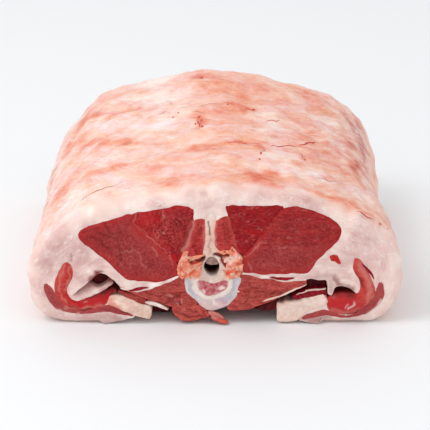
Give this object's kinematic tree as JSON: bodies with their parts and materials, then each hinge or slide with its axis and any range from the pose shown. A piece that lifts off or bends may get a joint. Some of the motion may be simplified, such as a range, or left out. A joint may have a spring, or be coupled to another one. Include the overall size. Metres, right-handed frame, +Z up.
{
  "type": "raw lamb chine",
  "caption": "Raw lamb chine joint: the loins either side of the backbone under a pale fat cover, square-cut at the ends, with the flaps folded underneath.",
  "frame": {"origin": "on the floor, below the middle of the joint's box", "axes": "+X to the right of the front cut, +Y along the backbone from the front cut to the rear cut, +Z up"},
  "size_m": [0.2119, 0.2112, 0.0907],
  "materials": {
    "fat": "moist satin fat, pinkish skin outside and white where cut",
    "loin_meat": "moist raw lean, fine grain",
    "cap_meat": "moist raw lean, coarse grain",
    "chine_meat": "moist raw lean",
    "fillet_meat": "moist raw lean with pale film",
    "flank_meat": "wet glossy raw lean",
    "deep_flank_meat": "moist dark raw lean",
    "bone": "sawn bone, cream with red flecks",
    "marrow": "pink spongy bone",
    "cartilage": "smooth bluish white cartilage",
    "gristle": "cream fatty gristle"
  },
  "bodies": {
    "root": {"fat_cover": "fat", "backbone": "bone", "marrow_core": "marrow", "cartilage_ring": "cartilage", "loin_left": "loin_meat", "loin_right": "loin_meat", "loin_cap_left": "cap_meat", "loin_cap_right": "cap_meat", "chine_muscle_left": "chine_meat", "chine_muscle_right": "chine_meat", "fillet_left": "fillet_meat", "fillet_right": "fillet_meat", "skirt_tag": "fillet_meat", "gristle_strip_left": "gristle", "gristle_strip_right": "gristle", "flank_left": "flank_meat", "flank_right": "flank_meat", "deep_flank_left": "deep_flank_meat", "deep_flank_right": "deep_flank_meat"}
  },
  "joints": []
}
